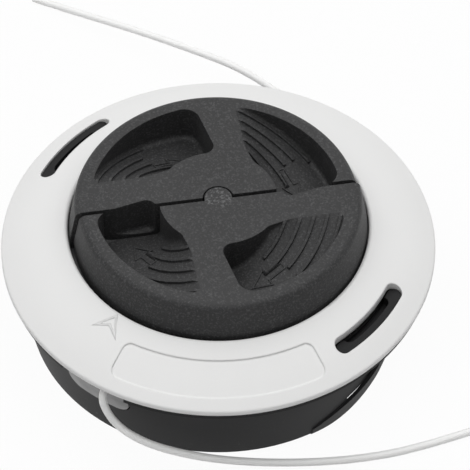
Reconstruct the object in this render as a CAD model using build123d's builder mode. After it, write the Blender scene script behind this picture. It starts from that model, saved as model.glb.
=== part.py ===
from build123d import *
import os
from math import asin, cos, degrees, hypot, pi, radians, sin, sqrt, tan

# Two-line bump-feed trimmer head, standing on its gearbox side with the bump knob up.
# Millimetres. The origin is on the spin axis at the hub's gearbox face, +Z towards the knob.
# Azimuths are in degrees from +X, counter-clockwise seen from the knob.

os.makedirs("parts", exist_ok=True)

# Gaps between neighbouring pieces
SEAT_GAP = 0.3
DOG_GAP = 0.4
FIT_GAP = 0.1
WASHER_GAP = 0.3

# Radii: everything follows the spool, outwards to the cover's edge and inwards to the knob
SPOOL_RADIUS = 50.0
SPOOL_GAP = 2.7
WALL = 2.5
LOBE_STAND = 4.3
SKIRT_FLARE = 4.9
FLANGE_STAND = 1.8
COVER_OVERHANG = 0.8
COVER_LAP = 3.8
KNOB_GAP = 1.0
KNOB_TAPER = 2.2
POCKET_RIM = 4.6

# Gearbox thread, drive nut and hub
THREAD_BORE_RADIUS = 4.46
NUT_SIDES = 6
NUT_ACROSS_FLATS = 15.0
NUT_HEIGHT = 12.0
NUT_CHAMFER = 0.6
NUT_SHOULDER = 3.0
SHAFT_HOLE_RADIUS = 5.6
HUB_RADIUS = 24.0
HUB_STAND = 2.4
HUB_SEAT = 4.0
POST_RADIUS = 11.0

# Housing bowl and the lobes that carry the eyelets
FLOOR_WALL = 2.6
FLOOR_RIB_COUNT = 8
FLOOR_RIB_WIDTH = 2.0
FLOOR_RIB_DEPTH = 1.6
SKIRT_WALL = 2.2
LOBE_HALF_ANGLE = 65.0
LOBE_OVERLAP = 4.0
LOBE_RIBS = 4
LOBE_RIB_WALL = 1.8
LOBE_RIB_INSET = 1.0
FLANGE_WALL = 2.4

# Latches: a tab in each slot of the cover, and a bowed strap that carries it.
# The strap's points are its distance before the latch and its height above the floor.
LATCH_AZIMUTH = -37.5
SLOT_STAND = 3.2
SLOT_WIDTH = 5.0
SLOT_SPAN = 26.0
TAB_GAP = 0.35
TAB_DEPTH = 1.7
TAB_RECESS_SPAN = 17.0
TAB_RECESS_WIDTH = 2.2
TAB_RECESS_DEPTH = 3.0
STRAP_FOOT_STAND = 0.3
STRAP_HEAD_STAND = 1.8
STRAP_WALL = 1.2
STRAP_FOOT = (21.5, 0.0)
STRAP_BELLY = (7.5, 6.1)
STRAP_KNEE = (3.0, 17.8)
STRAP_NECK = (5.4, 22.6)
STRAP_WAIST = (8.6, 14.9)
STRAP_CROTCH = (14.7, 9.7)
STRAP_HEEL = (24.5, 3.1)
SKIRT_TOE = (20.0, 0.0)
SKIRT_CREASE = (12.5, 8.1)
SKIRT_END_LOW = (14.2, 11.7)
SKIRT_END_HIGH = (3.3, 18.1)

# Line eyelets: a plate that lies flush in the skirt, with a sleeve through the wall
EYELET_AZIMUTH = -125.0
EYELET_WIDTH = 22.0
EYELET_DROP = 11.7
EYELET_CORNER = 4.5
EYELET_PROUD = 0.2
EYELET_EDGE = 0.8
EYELET_GAP = 0.35
SLEEVE_WIDTH = 13.4
SLEEVE_HEIGHT = 5.2
EYE_DROP = 2.7
EYE_WIDTH = 11.0
EYE_HEIGHT = 3.4
EYE_ROUND = 0.5
BOSS_MARGIN = 1.6

# Spool and its travel
BUMP_TRAVEL = 6.0
SPOOL_FLANGE = 2.0
CHAMBER_HEIGHT = 8.2
CORE_RADIUS = 20.0
CORE_WALL = 3.5
SPOOL_PLATE = 3.0
SPIGOT_RADIUS = 8.0
SPIGOT_HEIGHT = 3.0
LINE_CHANNEL_RADIUS = 1.6
DOG_COUNT = 8
DOG_HEIGHT = 1.0
DOG_WIDTH = 2.2
DOG_LENGTH = 9.0
DOG_INSET = 1.4

# Spring and thrust washer
SPRING_RADIUS = 13.2
SPRING_WIRE = 1.6
SPRING_SIDES = 8
SPRING_TURNS = 6
WASHER_OUTER_RADIUS = 15.0
WASHER_INNER_RADIUS = 9.0
WASHER_WALL = 1.2

# Wound line
LINE_DIAMETER = 2.4
WINDING_INSET = 12.0
WINDING_TURNS = 3
TURN_SIDES = 4

# Cover ring
COVER_RISE = 10.1
COVER_EDGE_HEIGHT = 1.5
COVER_EDGE_WIDTH = 2.4
COVER_CROWN = 0.7
COVER_LIP_DEPTH = 2.4
COVER_LIP_ROUND = 1.2
COVER_LIP_WIDTH = 3.2
SPIGOT_RING_WALL = 1.5
SPIGOT_RING_DEPTH = 4.5
PLATE_AZIMUTH = -90.0
PLATE_SPAN = 62.0
PLATE_INSET = 3.8
PLATE_WIDTH = 10.4
PLATE_DEPTH = 0.4
PLATE_CORNER = 2.5

# Bump knob: two half mouldings, which stand a little offset along the slit between them
KNOB_STAND = 11.1
KNOB_EDGE_ROUND = 2.4
KNOB_WALL = 3.0
KNOB_FLOOR = 2.0
KNOB_BOSS_RADIUS = 12.0
SLIT_AZIMUTH = 9.3
SLIT_WIDTH = 1.3
HALF_OFFSET = 0.5
CENTRE_DISC_RADIUS = 4.2
CENTRE_DISC_DEPTH = 3.0
CENTRE_DISC_GAP = 0.5

# Finger pockets of the knob; the first one lies at the front right
POCKET_COUNT = 4
POCKET_DEPTH = 13.0
POCKET_INNER_RADIUS = 18.6
POCKET_NECK_RADIUS = 24.5
POCKET_SHALLOW_AZIMUTH = -5.0
POCKET_NECK_AZIMUTH = -18.5
POCKET_SHOULDER_AZIMUTH = -38.0
POCKET_DEEP_OUTER_AZIMUTH = -79.5
POCKET_DEEP_INNER_AZIMUTH = -91.0
POCKET_DEEP_ROUND = 3.2
POCKET_OUTER_ROUND = 5.0
POCKET_SHOULDER_ROUND = 4.0
POCKET_FOOT_ROUND = 1.6

# Pocket floors: a ramp that fans out from a slanting start, falls fast and then levels out
RAMP_INNER_START = -35.0
RAMP_INNER_END = -92.0
RAMP_OUTER_START = -7.4
RAMP_OUTER_END = -84.0
RAMP_EASE = 1.0
RAMP_OVERRUN = 0.06
RAMP_STEPS = 8
RAMP_MARGIN = 1.6
GRIP_RIB_RADIUS = 25.2
GRIP_RIB_INSET = 1.7
GRIP_RIB_WIDTH = 0.95
GRIP_RIB_HEIGHT = 0.9
GRIP_RIB_ENDS = (-58.0, -46.0, -46.0, -51.0)

# Free lines: hand-set routes from inside the eyelet to the cut end. Each point has its stand
# from the skirt's top, its azimuth, and its height as a share of the eyelet's height.
FRONT_ROUTE = [
    (-4.8, -122.3, 1.000),
    (1.8, -122.2, 0.996),
    (2.5, -119.6, 0.709),
    (2.8, -114.8, 0.545),
    (2.5, -107.8, 0.436),
    (1.5, -99.2, 0.335),
    (1.3, -88.3, 0.240),
    (3.6, -72.8, 0.153),
    (10.2, -56.7, 0.087),
    (19.1, -43.6, 0.058),
    (28.5, -32.9, 0.051),
]
REAR_ROUTE = [
    (-4.8, 57.7, 1.000),
    (1.8, 57.8, 0.996),
    (5.8, 62.9, 0.836),
    (8.8, 68.2, 0.727),
    (13.7, 74.4, 0.625),
    (21.6, 80.9, 0.538),
    (30.1, 87.3, 0.444),
    (39.1, 94.2, 0.349),
    (50.1, 100.85, 0.262),
    (62.0, 106.5, 0.175),
    (74.5, 111.3, 0.095),
    (86.4, 115.1, 0.055),
]
BEND_SHARE = 0.45

# Radii worked out from the sizes above
wall_radius = SPOOL_RADIUS + SPOOL_GAP + WALL
skirt_bottom_radius = wall_radius + LOBE_STAND
skirt_top_radius = skirt_bottom_radius + SKIRT_FLARE
flange_radius = skirt_top_radius + FLANGE_STAND
cover_radius = flange_radius + COVER_OVERHANG
cover_hole_radius = SPOOL_RADIUS - COVER_LAP
knob_radius = cover_hole_radius - KNOB_GAP
knob_top_radius = knob_radius - KNOB_TAPER
pocket_outer_radius = knob_top_radius - POCKET_RIM
slot_radius = wall_radius + SLOT_STAND
dog_radius = SPOOL_RADIUS - DOG_INSET
hub_hole_radius = HUB_RADIUS - HUB_SEAT

# Heights worked out from the sizes above, from the gearbox face up
floor_under = HUB_STAND
floor_top = floor_under + FLOOR_WALL
spool_bottom = floor_top + DOG_HEIGHT + DOG_GAP + BUMP_TRAVEL + DOG_HEIGHT
spool_top = spool_bottom + 3 * SPOOL_FLANGE + 2 * CHAMBER_HEIGHT
cover_lip_z = spool_top + 2 * DOG_HEIGHT + DOG_GAP
cover_rim_z = cover_lip_z + COVER_LIP_DEPTH
cover_edge_z = cover_rim_z - COVER_RISE
knob_top = cover_rim_z + KNOB_STAND
flange_top = cover_edge_z - SEAT_GAP
flange_under = flange_top - FLANGE_WALL
skirt_top_z = flange_under + FLANGE_WALL / 2
plate_under = spool_top - SPOOL_PLATE
washer_top = plate_under - WASHER_GAP
washer_under = washer_top - WASHER_WALL
post_top = washer_under - BUMP_TRAVEL - 2 * DOG_GAP
eyelet_z = flange_top - EYE_DROP
eyelet_low = flange_top - EYELET_DROP
boss_low = eyelet_low - BOSS_MARGIN

# Cover section: its underside is a cone, and its top is an arc that crowns above its chord
lip_outer_radius = cover_hole_radius + COVER_LIP_WIDTH
edge_inner_radius = cover_radius - COVER_EDGE_WIDTH
top_start = (cover_radius, cover_edge_z + COVER_EDGE_HEIGHT)
top_end = (cover_hole_radius + COVER_LIP_ROUND, cover_rim_z)
top_run = top_start[0] - top_end[0]
top_climb = top_end[1] - top_start[1]
top_chord = hypot(top_run, top_climb)
crown_radius = (top_chord**2 / 4 + COVER_CROWN**2) / (2 * COVER_CROWN)
crown_x = (top_start[0] + top_end[0]) / 2 - top_climb / top_chord * (crown_radius - COVER_CROWN)
crown_z = (top_start[1] + top_end[1]) / 2 - top_run / top_chord * (crown_radius - COVER_CROWN)


def cover_top(radius):
    """Height of the cover's top face at a radius."""
    return crown_z + sqrt(crown_radius**2 - (radius - crown_x) ** 2)


def cover_under(radius):
    """Height of the cover's underside cone at a radius."""
    climb = (cover_lip_z - cover_edge_z) / (edge_inner_radius - lip_outer_radius)
    return cover_edge_z + (edge_inner_radius - radius) * climb


def skirt_radius(height):
    """Radius of the skirt's outside at a height."""
    return skirt_bottom_radius + SKIRT_FLARE * (height - floor_under) / (skirt_top_z - floor_under)


def flared_section(foot_stand, head_stand, wall):
    """Section of a flared wall whose outside stands off the skirt's, at its foot and at its head."""
    foot = skirt_bottom_radius + foot_stand
    head = skirt_top_radius + head_stand
    return [(foot - wall, floor_under), (foot, floor_under), (head, skirt_top_z), (head - wall, skirt_top_z)]


def polar(radius, azimuth):
    """Point on the XY plane at a radius and an azimuth."""
    return (radius * cos(radians(azimuth)), radius * sin(radians(azimuth)))


def section_plane(azimuth):
    """Plane through the spin axis: its X is the radius and its Y the height."""
    x, y = polar(1, azimuth)
    return Plane(origin=(0, 0, 0), x_dir=(x, y, 0), z_dir=(y, -x, 0))


def outward_plane(azimuth, distance, height):
    """Plane that faces away from the spin axis: its X runs counter-clockwise, its Y is up."""
    x, y = polar(1, azimuth)
    return Plane(origin=(distance * x, distance * y, height), x_dir=(-y, x, 0), z_dir=(x, y, 0))


def arc_edge(radius, azimuth, span):
    """Arc about the spin axis, centred on an azimuth."""
    return Edge.make_circle(radius, start_angle=azimuth - span / 2, end_angle=azimuth + span / 2)


def latch_point(point):
    """Point of a latch's strap, on the outward plane through the latch."""
    before, above = point
    return (-before, floor_under + above)


def route_points(route):
    """Points of a free line in space."""
    return [
        (*polar(skirt_top_radius + stand, azimuth), share * eyelet_z) for stand, azimuth, share in route
    ]


def bend_radii(points):
    """Bend radius at each inner point of a cord's route, as large as its two runs allow."""
    radii = []
    for before, point, after in zip(points, points[1:], points[2:]):
        arriving = Vector(*point) - Vector(*before)
        leaving = Vector(*after) - Vector(*point)
        half_turn = radians(arriving.get_angle(leaving)) / 2
        radii.append(BEND_SHARE * min(arriving.length, leaving.length) / tan(half_turn))
    return radii


wall_top = cover_under(wall_radius) - SEAT_GAP
tab_top = cover_top(slot_radius) - TAB_DEPTH
eyelet_face = skirt_radius(eyelet_low) + EYELET_PROUD
eyelet_seat = sqrt(eyelet_face**2 - EYELET_WIDTH**2 / 4) - EYELET_EDGE
boss_half_angle = degrees(asin((EYELET_WIDTH / 2 + EYELET_GAP + BOSS_MARGIN) / wall_radius))
eyelet_azimuths = {"eyelet_front": EYELET_AZIMUTH, "eyelet_rear": EYELET_AZIMUTH + 180}
latch_azimuths = (LATCH_AZIMUTH, LATCH_AZIMUTH + 180)


def eyelet_outline(azimuth, margin, top):
    """Outline of an eyelet's plate on its seat, grown by a margin: square above, rounded below."""
    low = eyelet_low - margin
    with BuildSketch(outward_plane(azimuth, eyelet_seat, 0)) as outline:
        with Locations((0, (low + top) / 2)):
            Rectangle(EYELET_WIDTH + 2 * margin, top - low)
        fillet(outline.vertices().group_by(Axis.Y)[0], EYELET_CORNER + margin)
    return outline.sketch


# Radial rib inside a lobe, made at azimuth 0
with BuildPart() as lobe_rib:
    with BuildSketch(Plane.XZ):
        with BuildLine():
            Polyline(
                (wall_radius - WALL / 2, floor_under),
                (skirt_bottom_radius - SKIRT_WALL / 2, floor_under),
                (skirt_top_radius - SKIRT_WALL / 2, skirt_top_z),
                (wall_radius - WALL / 2, skirt_top_z),
                close=True,
            )
        make_face()
    extrude(amount=LOBE_RIB_WALL / 2, both=True)

# End of a lobe's skirt, which runs on behind the strap and leaves a slit above it
lobe_end_azimuth = EYELET_AZIMUTH + LOBE_HALF_ANGLE - LOBE_OVERLAP
with BuildPart() as lobe_end:
    with BuildSketch(section_plane(lobe_end_azimuth)):
        with BuildLine():
            Polyline(*flared_section(0, 0, SKIRT_WALL), close=True)
        make_face()
    revolve(axis=Axis.Z, revolution_arc=LATCH_AZIMUTH - lobe_end_azimuth)
    with BuildSketch(outward_plane(LATCH_AZIMUTH, 0, 0)):
        with BuildLine():
            Polyline(
                (-wall_radius, floor_under),
                latch_point(SKIRT_TOE),
                latch_point(SKIRT_CREASE),
                latch_point(SKIRT_END_LOW),
                latch_point(SKIRT_END_HIGH),
                (-SKIRT_END_HIGH[0], skirt_top_z),
                (-wall_radius, skirt_top_z),
                close=True,
            )
        make_face()
    extrude(amount=cover_radius, mode=Mode.INTERSECT)

# Bowed strap of a latch, from the lobe's foot up to the flange
with BuildPart() as latch_strap:
    with BuildSketch(section_plane(lobe_end_azimuth)):
        with BuildLine():
            Polyline(*flared_section(STRAP_FOOT_STAND, STRAP_HEAD_STAND, STRAP_WALL), close=True)
        make_face()
    revolve(axis=Axis.Z, revolution_arc=LATCH_AZIMUTH - lobe_end_azimuth)
    with BuildSketch(outward_plane(LATCH_AZIMUTH, 0, 0)):
        with BuildLine():
            ThreePointArc(latch_point(STRAP_FOOT), latch_point(STRAP_BELLY), latch_point(STRAP_KNEE))
            Polyline(
                latch_point(STRAP_KNEE),
                (-STRAP_KNEE[0], skirt_top_z),
                (-STRAP_NECK[0], skirt_top_z),
                latch_point(STRAP_NECK),
            )
            ThreePointArc(latch_point(STRAP_NECK), latch_point(STRAP_WAIST), latch_point(STRAP_CROTCH))
            Polyline(
                latch_point(STRAP_CROTCH),
                latch_point(STRAP_HEEL),
                (-STRAP_HEEL[0], floor_under),
                latch_point(STRAP_FOOT),
            )
        make_face()
    extrude(amount=cover_radius, mode=Mode.INTERSECT)

with BuildPart() as housing:
    # Floor and wall in one turned section
    with BuildSketch(Plane.XZ):
        with BuildLine():
            Polyline(
                (hub_hole_radius, floor_under),
                (wall_radius, floor_under),
                (wall_radius, wall_top),
                (wall_radius - WALL, wall_top),
                (wall_radius - WALL, floor_top),
                (hub_hole_radius, floor_top),
                close=True,
            )
        make_face()
    revolve(axis=Axis.Z)
    # Stiffening ribs under the floor, from the hub to the wall
    rib_start = HUB_RADIUS + SEAT_GAP
    rib_end = wall_radius - WALL / 2
    with BuildSketch(Plane.XY.offset(floor_under)):
        with PolarLocations((rib_start + rib_end) / 2, FLOOR_RIB_COUNT):
            Rectangle(rib_end - rib_start, FLOOR_RIB_WIDTH)
    extrude(amount=-FLOOR_RIB_DEPTH)
    # Flange under the cover's edge
    with BuildSketch(Plane.XY.offset(flange_under)):
        Circle(flange_radius)
        Circle(wall_radius - WALL / 2, mode=Mode.SUBTRACT)
    extrude(amount=FLANGE_WALL)
    # Flared skirts, ribs and eyelet bosses of the two lobes
    for azimuth in eyelet_azimuths.values():
        with BuildSketch(section_plane(azimuth - LOBE_HALF_ANGLE)):
            with BuildLine():
                Polyline(*flared_section(0, 0, SKIRT_WALL), close=True)
            make_face()
        revolve(axis=Axis.Z, revolution_arc=2 * LOBE_HALF_ANGLE)
        rib_half_angle = LOBE_HALF_ANGLE - LOBE_RIB_INSET
        with PolarLocations(0, LOBE_RIBS, azimuth - rib_half_angle, 2 * rib_half_angle, endpoint=True):
            add(lobe_rib.part)
        with BuildSketch(section_plane(azimuth - boss_half_angle)):
            with BuildLine():
                Polyline(
                    (wall_radius - WALL / 2, boss_low),
                    (skirt_radius(boss_low) - SKIRT_WALL / 2, boss_low),
                    (skirt_top_radius - SKIRT_WALL / 2, skirt_top_z),
                    (wall_radius - WALL / 2, skirt_top_z),
                    close=True,
                )
            make_face()
        revolve(axis=Axis.Z, revolution_arc=2 * boss_half_angle)
    # Eyelet seats, open through the flange, and the passages through the wall
    for azimuth in eyelet_azimuths.values():
        seat_outline = eyelet_outline(azimuth, EYELET_GAP, cover_edge_z)
        extrude(seat_outline, amount=cover_radius - eyelet_seat, mode=Mode.SUBTRACT)
        with BuildSketch(outward_plane(azimuth, eyelet_seat, eyelet_z)):
            SlotOverall(SLEEVE_WIDTH + 2 * FIT_GAP, SLEEVE_HEIGHT + 2 * FIT_GAP)
        extrude(amount=wall_radius - 2 * WALL - eyelet_seat, mode=Mode.SUBTRACT)
    # Latch straps and tabs
    with PolarLocations(0, 2):
        add(lobe_end.part)
    with PolarLocations(0, 2):
        add(latch_strap.part)
    for azimuth in latch_azimuths:
        with BuildSketch(Plane.XY.offset(flange_under)):
            SlotArc(arc_edge(slot_radius, azimuth, SLOT_SPAN), SLOT_WIDTH - 2 * TAB_GAP)
        extrude(amount=tab_top - flange_under)
        with BuildSketch(Plane.XY.offset(tab_top)):
            SlotArc(
                arc_edge(slot_radius - SLOT_WIDTH / 2 + TAB_GAP, azimuth, TAB_RECESS_SPAN),
                2 * TAB_RECESS_WIDTH,
            )
        extrude(amount=-TAB_RECESS_DEPTH, mode=Mode.SUBTRACT)
    # Floor dogs that catch the spool when it is bumped
    with BuildSketch(Plane.XY.offset(floor_top)):
        with PolarLocations(dog_radius, DOG_COUNT):
            Rectangle(DOG_WIDTH, DOG_LENGTH)
    extrude(amount=DOG_HEIGHT)
housing.part.label = "housing"
export_step(housing.part, "parts/housing.step")

with BuildPart() as drive_hub:
    # Flanged hub, which seats under the floor, and the post that guides the spring
    with BuildSketch(Plane.XZ):
        with BuildLine():
            Polyline(
                (SHAFT_HOLE_RADIUS, 0),
                (HUB_RADIUS, 0),
                (HUB_RADIUS, floor_under),
                (hub_hole_radius - FIT_GAP, floor_under),
                (hub_hole_radius - FIT_GAP, floor_top),
                (POST_RADIUS, floor_top),
                (POST_RADIUS, post_top),
                (SHAFT_HOLE_RADIUS, post_top),
                close=True,
            )
        make_face()
    revolve(axis=Axis.Z)
    with BuildSketch(Plane.XY.offset(NUT_SHOULDER)):
        RegularPolygon(NUT_ACROSS_FLATS / 2 + FIT_GAP, NUT_SIDES, major_radius=False)
    extrude(amount=post_top - NUT_SHOULDER, mode=Mode.SUBTRACT)
drive_hub.part.label = "drive_hub"
export_step(drive_hub.part, "parts/drive_hub.step")

with BuildPart() as drive_nut:
    with BuildSketch(Plane.XY.offset(NUT_SHOULDER)):
        RegularPolygon(NUT_ACROSS_FLATS / 2, NUT_SIDES, major_radius=False)
        Circle(THREAD_BORE_RADIUS, mode=Mode.SUBTRACT)
    extrude(amount=NUT_HEIGHT)
    chamfer(drive_nut.edges().filter_by(GeomType.LINE).group_by(Axis.Z)[-1], NUT_CHAMFER)
drive_nut.part.label = "drive_nut"
export_step(drive_nut.part, "parts/drive_nut.step")

for node, azimuth in eyelet_azimuths.items():
    with BuildPart() as eyelet:
        # Plate, turned to the skirt's cone on its outside
        extrude(eyelet_outline(azimuth, 0, flange_top), amount=cover_radius - eyelet_seat)
        with BuildSketch(Plane.XZ):
            with BuildLine():
                Polyline(
                    (0, floor_under),
                    (skirt_bottom_radius + EYELET_PROUD, floor_under),
                    (skirt_radius(flange_top) + EYELET_PROUD, flange_top),
                    (0, flange_top),
                    close=True,
                )
            make_face()
        revolve(axis=Axis.Z, mode=Mode.INTERSECT)
        # Sleeve and eye
        with BuildSketch(outward_plane(azimuth, eyelet_seat, eyelet_z)):
            SlotOverall(SLEEVE_WIDTH, SLEEVE_HEIGHT)
        extrude(amount=wall_radius - WALL - eyelet_seat)
        with BuildSketch(outward_plane(azimuth, cover_radius, eyelet_z)):
            SlotOverall(EYE_WIDTH, EYE_HEIGHT)
        extrude(amount=wall_radius - 2 * WALL - cover_radius, mode=Mode.SUBTRACT)
        mouth = eyelet.faces().filter_by(GeomType.CONE)[0].inner_wires()[0]
        fillet(mouth.edges(), EYE_ROUND)
    eyelet.part.label = node
    export_step(eyelet.part, f"parts/{node}.step")

# Cutter for the bare plate in the front of the cover
plate_outer_radius = cover_radius - PLATE_INSET
plate_inner_radius = plate_outer_radius - PLATE_WIDTH
plate_start = PLATE_AZIMUTH - PLATE_SPAN / 2
with BuildPart() as plate_cutter:
    with BuildSketch(section_plane(plate_start)):
        with BuildLine():
            plate_middle = (plate_inner_radius + plate_outer_radius) / 2
            sunk_inner = (plate_inner_radius, cover_top(plate_inner_radius) - PLATE_DEPTH)
            sunk_outer = (plate_outer_radius, cover_top(plate_outer_radius) - PLATE_DEPTH)
            ThreePointArc(sunk_inner, (plate_middle, cover_top(plate_middle) - PLATE_DEPTH), sunk_outer)
            Polyline(
                sunk_outer,
                (plate_outer_radius, cover_rim_z),
                (plate_inner_radius, cover_rim_z),
                sunk_inner,
            )
        make_face()
    revolve(axis=Axis.Z, revolution_arc=PLATE_SPAN)
    with BuildSketch(Plane.XY.offset(cover_edge_z)) as plate_plan:
        with BuildLine():
            CenterArc((0, 0), plate_outer_radius, plate_start, PLATE_SPAN)
            CenterArc((0, 0), plate_inner_radius, plate_start, PLATE_SPAN)
            for azimuth in (plate_start, plate_start + PLATE_SPAN):
                Line(polar(plate_inner_radius, azimuth), polar(plate_outer_radius, azimuth))
        make_face()
        fillet(plate_plan.vertices(), PLATE_CORNER)
    extrude(amount=COVER_RISE, mode=Mode.INTERSECT)

with BuildPart() as cover:
    with BuildSketch(Plane.XZ) as cover_section:
        with BuildLine():
            middle = (top_start[0] + top_end[0]) / 2
            lip_turn = (cover_hole_radius, cover_rim_z - COVER_LIP_ROUND)
            ThreePointArc(top_start, (middle, cover_top(middle)), top_end)
            RadiusArc(top_end, lip_turn, -COVER_LIP_ROUND)
            Polyline(
                lip_turn,
                (cover_hole_radius, cover_lip_z),
                (lip_outer_radius, cover_lip_z),
                (edge_inner_radius, cover_edge_z),
                (cover_radius, cover_edge_z),
                top_start,
            )
        make_face()
        fillet(cover_section.vertices().sort_by(Axis.X)[-2:].sort_by(Axis.Y)[-1], COVER_EDGE_HEIGHT / 2)
    revolve(axis=Axis.Z)
    # Spigot ring that centres the cover inside the housing's wall, and the drive dogs
    spigot_outer = wall_radius - WALL - SEAT_GAP
    with BuildSketch(Plane.XY.offset(cover_under(spigot_outer) + COVER_EDGE_HEIGHT / 2)):
        Circle(spigot_outer)
        Circle(spigot_outer - SPIGOT_RING_WALL, mode=Mode.SUBTRACT)
    extrude(amount=-SPIGOT_RING_DEPTH)
    with BuildSketch(Plane.XY.offset(cover_lip_z)):
        with PolarLocations(dog_radius, DOG_COUNT):
            Rectangle(DOG_WIDTH, DOG_LENGTH)
    extrude(amount=-DOG_HEIGHT)
    # Latch slots
    for azimuth in latch_azimuths:
        with BuildSketch(Plane.XY.offset(cover_edge_z)):
            SlotArc(arc_edge(slot_radius, azimuth, SLOT_SPAN), SLOT_WIDTH)
        extrude(amount=COVER_RISE, mode=Mode.SUBTRACT)
    add(plate_cutter.part, mode=Mode.SUBTRACT)
cover.part.label = "cover"
export_step(cover.part, "parts/cover.step")

chamber_floors = [spool_bottom + SPOOL_FLANGE, spool_bottom + 2 * SPOOL_FLANGE + CHAMBER_HEIGHT]
with BuildPart() as spool:
    with BuildSketch(Plane.XZ):
        with BuildLine():
            Polyline(
                (CORE_RADIUS - CORE_WALL, spool_bottom),
                (SPOOL_RADIUS, spool_bottom),
                (SPOOL_RADIUS, spool_top),
                (SPIGOT_RADIUS, spool_top),
                (SPIGOT_RADIUS, spool_top + SPIGOT_HEIGHT),
                (0, spool_top + SPIGOT_HEIGHT),
                (0, plate_under),
                (CORE_RADIUS - CORE_WALL, plate_under),
                close=True,
            )
        make_face()
    revolve(axis=Axis.Z)
    # Two line chambers
    for chamber_floor in chamber_floors:
        with BuildSketch(Plane.XY.offset(chamber_floor)):
            Circle(SPOOL_RADIUS)
            Circle(CORE_RADIUS, mode=Mode.SUBTRACT)
        extrude(amount=CHAMBER_HEIGHT, mode=Mode.SUBTRACT)
    # Channel that takes the line across the core
    with BuildSketch(outward_plane(EYELET_AZIMUTH, 0, chamber_floors[0] + CHAMBER_HEIGHT / 2)):
        Circle(LINE_CHANNEL_RADIUS)
    extrude(amount=CORE_RADIUS, both=True, mode=Mode.SUBTRACT)
    # Drive dogs above and below
    for dog_plane, reach in ((spool_top, DOG_HEIGHT), (spool_bottom, -DOG_HEIGHT)):
        with BuildSketch(Plane.XY.offset(dog_plane)):
            with PolarLocations(dog_radius, DOG_COUNT):
                Rectangle(DOG_WIDTH, DOG_LENGTH)
        extrude(amount=reach)
spool.part.label = "spool"
export_step(spool.part, "parts/spool.step")

# Wound line: one solid for each chamber, with flat-sided turns at its outside
winding_shoulder = SPOOL_RADIUS - WINDING_INSET - LINE_DIAMETER / 2
turn_pitch = (CHAMBER_HEIGHT - 2 * FIT_GAP) / WINDING_TURNS
for node, chamber_floor in zip(("winding_lower", "winding_upper"), chamber_floors):
    winding_base = chamber_floor + FIT_GAP
    winding_points = [(CORE_RADIUS + FIT_GAP, winding_base)]
    for turn in range(WINDING_TURNS):
        for side in range(TURN_SIDES):
            angle = pi * (side / TURN_SIDES - 1 / 2)
            turn_middle = winding_base + (turn + 1 / 2) * turn_pitch
            bulge = LINE_DIAMETER / 2 * cos(angle)
            winding_points.append((winding_shoulder + bulge, turn_middle + turn_pitch / 2 * sin(angle)))
    winding_points.append((winding_shoulder, winding_base + WINDING_TURNS * turn_pitch))
    winding_points.append((CORE_RADIUS + FIT_GAP, winding_base + WINDING_TURNS * turn_pitch))
    with BuildPart() as winding:
        with BuildSketch(Plane.XZ):
            with BuildLine():
                Polyline(*winding_points, close=True)
            make_face()
        revolve(axis=Axis.Z)
    winding.part.label = node
    export_step(winding.part, f"parts/{node}.step")

spring_low = floor_top + SPRING_WIRE / 2
spring_height = washer_under - floor_top - SPRING_WIRE
with BuildPart() as feed_spring:
    with BuildLine() as coil:
        Helix(spring_height / SPRING_TURNS, spring_height, SPRING_RADIUS, center=(0, 0, spring_low))
    with BuildSketch(Plane(origin=coil.line @ 0, z_dir=coil.line % 0)):
        RegularPolygon(SPRING_WIRE / 2, SPRING_SIDES)
    sweep(path=coil.line, is_frenet=True)
feed_spring.part.label = "feed_spring"
export_step(feed_spring.part, "parts/feed_spring.step")

with BuildPart() as spring_washer:
    with BuildSketch(Plane.XY.offset(washer_under)):
        Circle(WASHER_OUTER_RADIUS)
        Circle(WASHER_INNER_RADIUS, mode=Mode.SUBTRACT)
    extrude(amount=WASHER_WALL)
spring_washer.part.label = "spring_washer"
export_step(spring_washer.part, "parts/spring_washer.step")


def ramp_edge(radius, start_azimuth, end_azimuth, lift):
    """Curve of a pocket's floor at a radius, lifted above the floor."""
    points = []
    for step in range(RAMP_STEPS + 1):
        share = (1 + 2 * RAMP_OVERRUN) * step / RAMP_STEPS - RAMP_OVERRUN
        depth = POCKET_DEPTH * share * (1 + RAMP_EASE - RAMP_EASE * share)
        azimuth = start_azimuth + (end_azimuth - start_azimuth) * share
        points.append((*polar(radius, azimuth), knob_top - depth + lift))
    with BuildLine() as curve:
        Spline(*points)
    return curve.edge()


def ramp_face(lift):
    """Floor of a pocket, ruled between its inner and its outer edge."""
    inner = ramp_edge(POCKET_INNER_RADIUS - RAMP_MARGIN, RAMP_INNER_START, RAMP_INNER_END, lift)
    outer = ramp_edge(pocket_outer_radius + RAMP_MARGIN, RAMP_OUTER_START, RAMP_OUTER_END, lift)
    return Face.make_surface_from_curves(inner, outer)


# Grip ribs on a pocket's floor: arcs about the spin axis, as high above the floor all along
grip_rib_pitch = (pocket_outer_radius - GRIP_RIB_INSET - GRIP_RIB_RADIUS) / (len(GRIP_RIB_ENDS) - 1)
with BuildPart() as grip_ribs:
    with BuildSketch(Plane.XY.offset(knob_top - 2 * POCKET_DEPTH)):
        for rib, rib_end_azimuth in enumerate(GRIP_RIB_ENDS):
            rib_radius = GRIP_RIB_RADIUS + rib * grip_rib_pitch
            with BuildLine():
                CenterArc((0, 0), rib_radius, rib_end_azimuth, -rib_end_azimuth)
                CenterArc((0, 0), rib_radius + GRIP_RIB_WIDTH, rib_end_azimuth, -rib_end_azimuth)
                for azimuth in (rib_end_azimuth, 0):
                    Line(polar(rib_radius, azimuth), polar(rib_radius + GRIP_RIB_WIDTH, azimuth))
            make_face()
    extrude(amount=3 * POCKET_DEPTH)
    add(Solid.extrude(ramp_face(GRIP_RIB_HEIGHT), Vector(0, 0, -POCKET_DEPTH)), mode=Mode.INTERSECT)

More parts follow.
